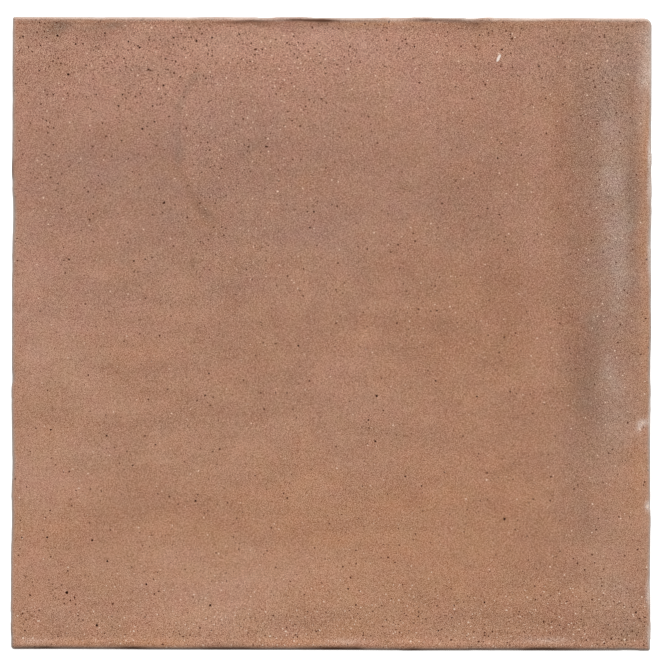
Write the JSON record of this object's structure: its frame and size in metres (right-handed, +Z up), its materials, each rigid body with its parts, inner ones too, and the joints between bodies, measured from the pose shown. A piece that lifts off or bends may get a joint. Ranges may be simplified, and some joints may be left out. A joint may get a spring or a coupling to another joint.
{
  "type": "floor tile",
  "caption": "Square floor tile of pressed porcelain stoneware with a worn terracotta look, wandering lipped edges and a keyed back for tile adhesive",
  "frame": {"origin": "middle of the back, on the plane that the tile lies on", "axes": "+Z up out of the worn face, +X along the 200 mm side to the right in the picture, +Y to its top"},
  "size_m": [0.2002, 0.1982, 0.009],
  "materials": {
    "fired_body": "matt terracotta brown, slightly grainy"
  },
  "bodies": {
    "root": {"tile": "fired_body"}
  },
  "joints": []
}
